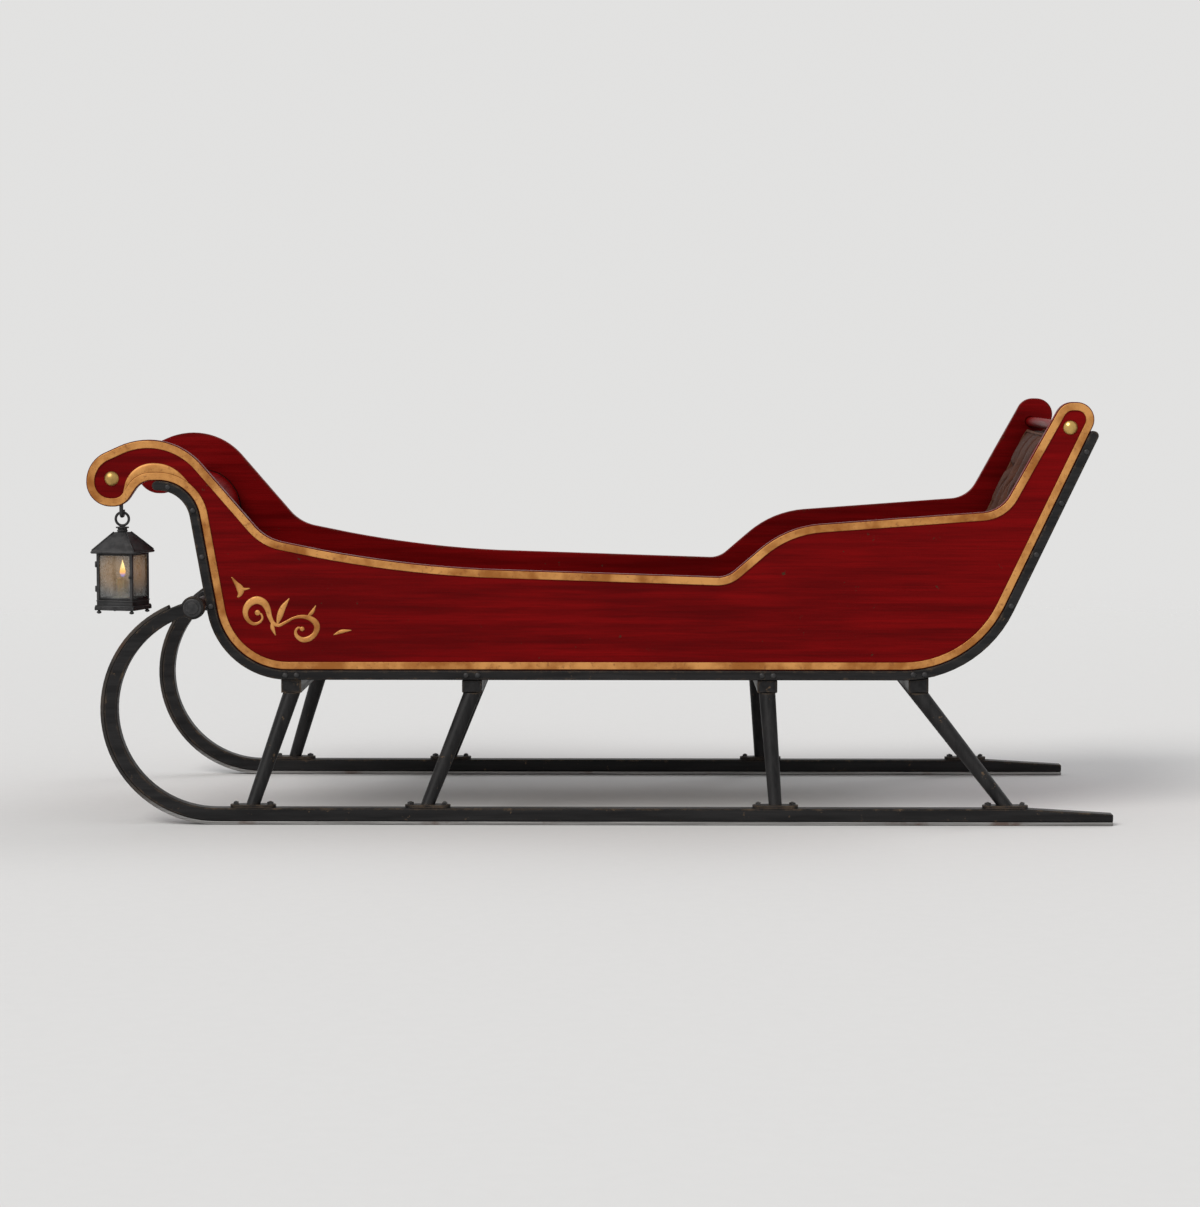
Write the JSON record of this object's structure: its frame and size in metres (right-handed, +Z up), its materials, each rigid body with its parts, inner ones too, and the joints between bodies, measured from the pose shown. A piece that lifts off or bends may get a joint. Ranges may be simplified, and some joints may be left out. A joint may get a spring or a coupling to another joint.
{
  "type": "open sleigh",
  "caption": "Low open sleigh: red side panels with gold edge beads and front scrolls, a cushioned seat, bent runners on splayed legs, and a lantern that swings from the scroll.",
  "frame": {"origin": "on the ground, at the middle of the overall length and width", "axes": "+X is the way the sleigh travels, +Y is its left side, +Z is up"},
  "size_m": [2.34, 0.988, 0.959],
  "materials": {
    "red_paint": "deep red gloss paint over boards",
    "gold_paint": "old gold paint on a raised bead",
    "black_paint": "black paint over bent ash",
    "black_iron": "black forged iron",
    "steel_shoe": "worn steel",
    "brass": "aged brass",
    "leather": "dark brown leather",
    "lantern_glass": "clear window glass",
    "wax": "candle wax",
    "floor_wood": "oiled and trodden pine boards"
  },
  "bodies": {
    "sleigh": {"side_panel_left": "red_paint", "edge_bead_left": "gold_paint", "sill_left": "black_paint", "runner_left": "black_paint", "shoe_left": "steel_shoe", "leg_left_1": "black_paint", "leg_left_2": "black_paint", "leg_left_3": "black_paint", "leg_left_4": "black_paint", "side_panel_right": "red_paint", "edge_bead_right": "gold_paint", "sill_right": "black_paint", "runner_right": "black_paint", "shoe_right": "steel_shoe", "leg_right_1": "black_paint", "leg_right_2": "black_paint", "leg_right_3": "black_paint", "leg_right_4": "black_paint", "floor_boards": "floor_wood", "dash_board": "red_paint", "back_board": "red_paint", "seat_riser": "red_paint", "seat_board": "red_paint", "back_rail": "red_paint", "seat_cushion": "leather", "back_cushion": "leather", "dash_rod": "brass", "rod_caps": "brass", "bench_1": "black_paint", "bench_2": "black_paint", "bench_3": "black_paint", "bench_4": "black_paint", "nose_bar": "black_iron", "nose_brackets": "black_iron", "lantern_hook": "black_iron"},
    "lantern": {"lantern_base": "black_iron", "lantern_posts": "black_iron", "lantern_glass": "lantern_glass", "lantern_roof": "black_iron", "lantern_cap": "black_iron", "lantern_candle": "wax"}
  },
  "joints": [
    {"name": "lantern_swing", "type": "hinge", "parent": "sleigh", "child": "lantern", "pos_m": [1.092, 0.375, 0.698], "axis": [0, -1, 0], "range_deg": [-35, 60]}
  ]
}
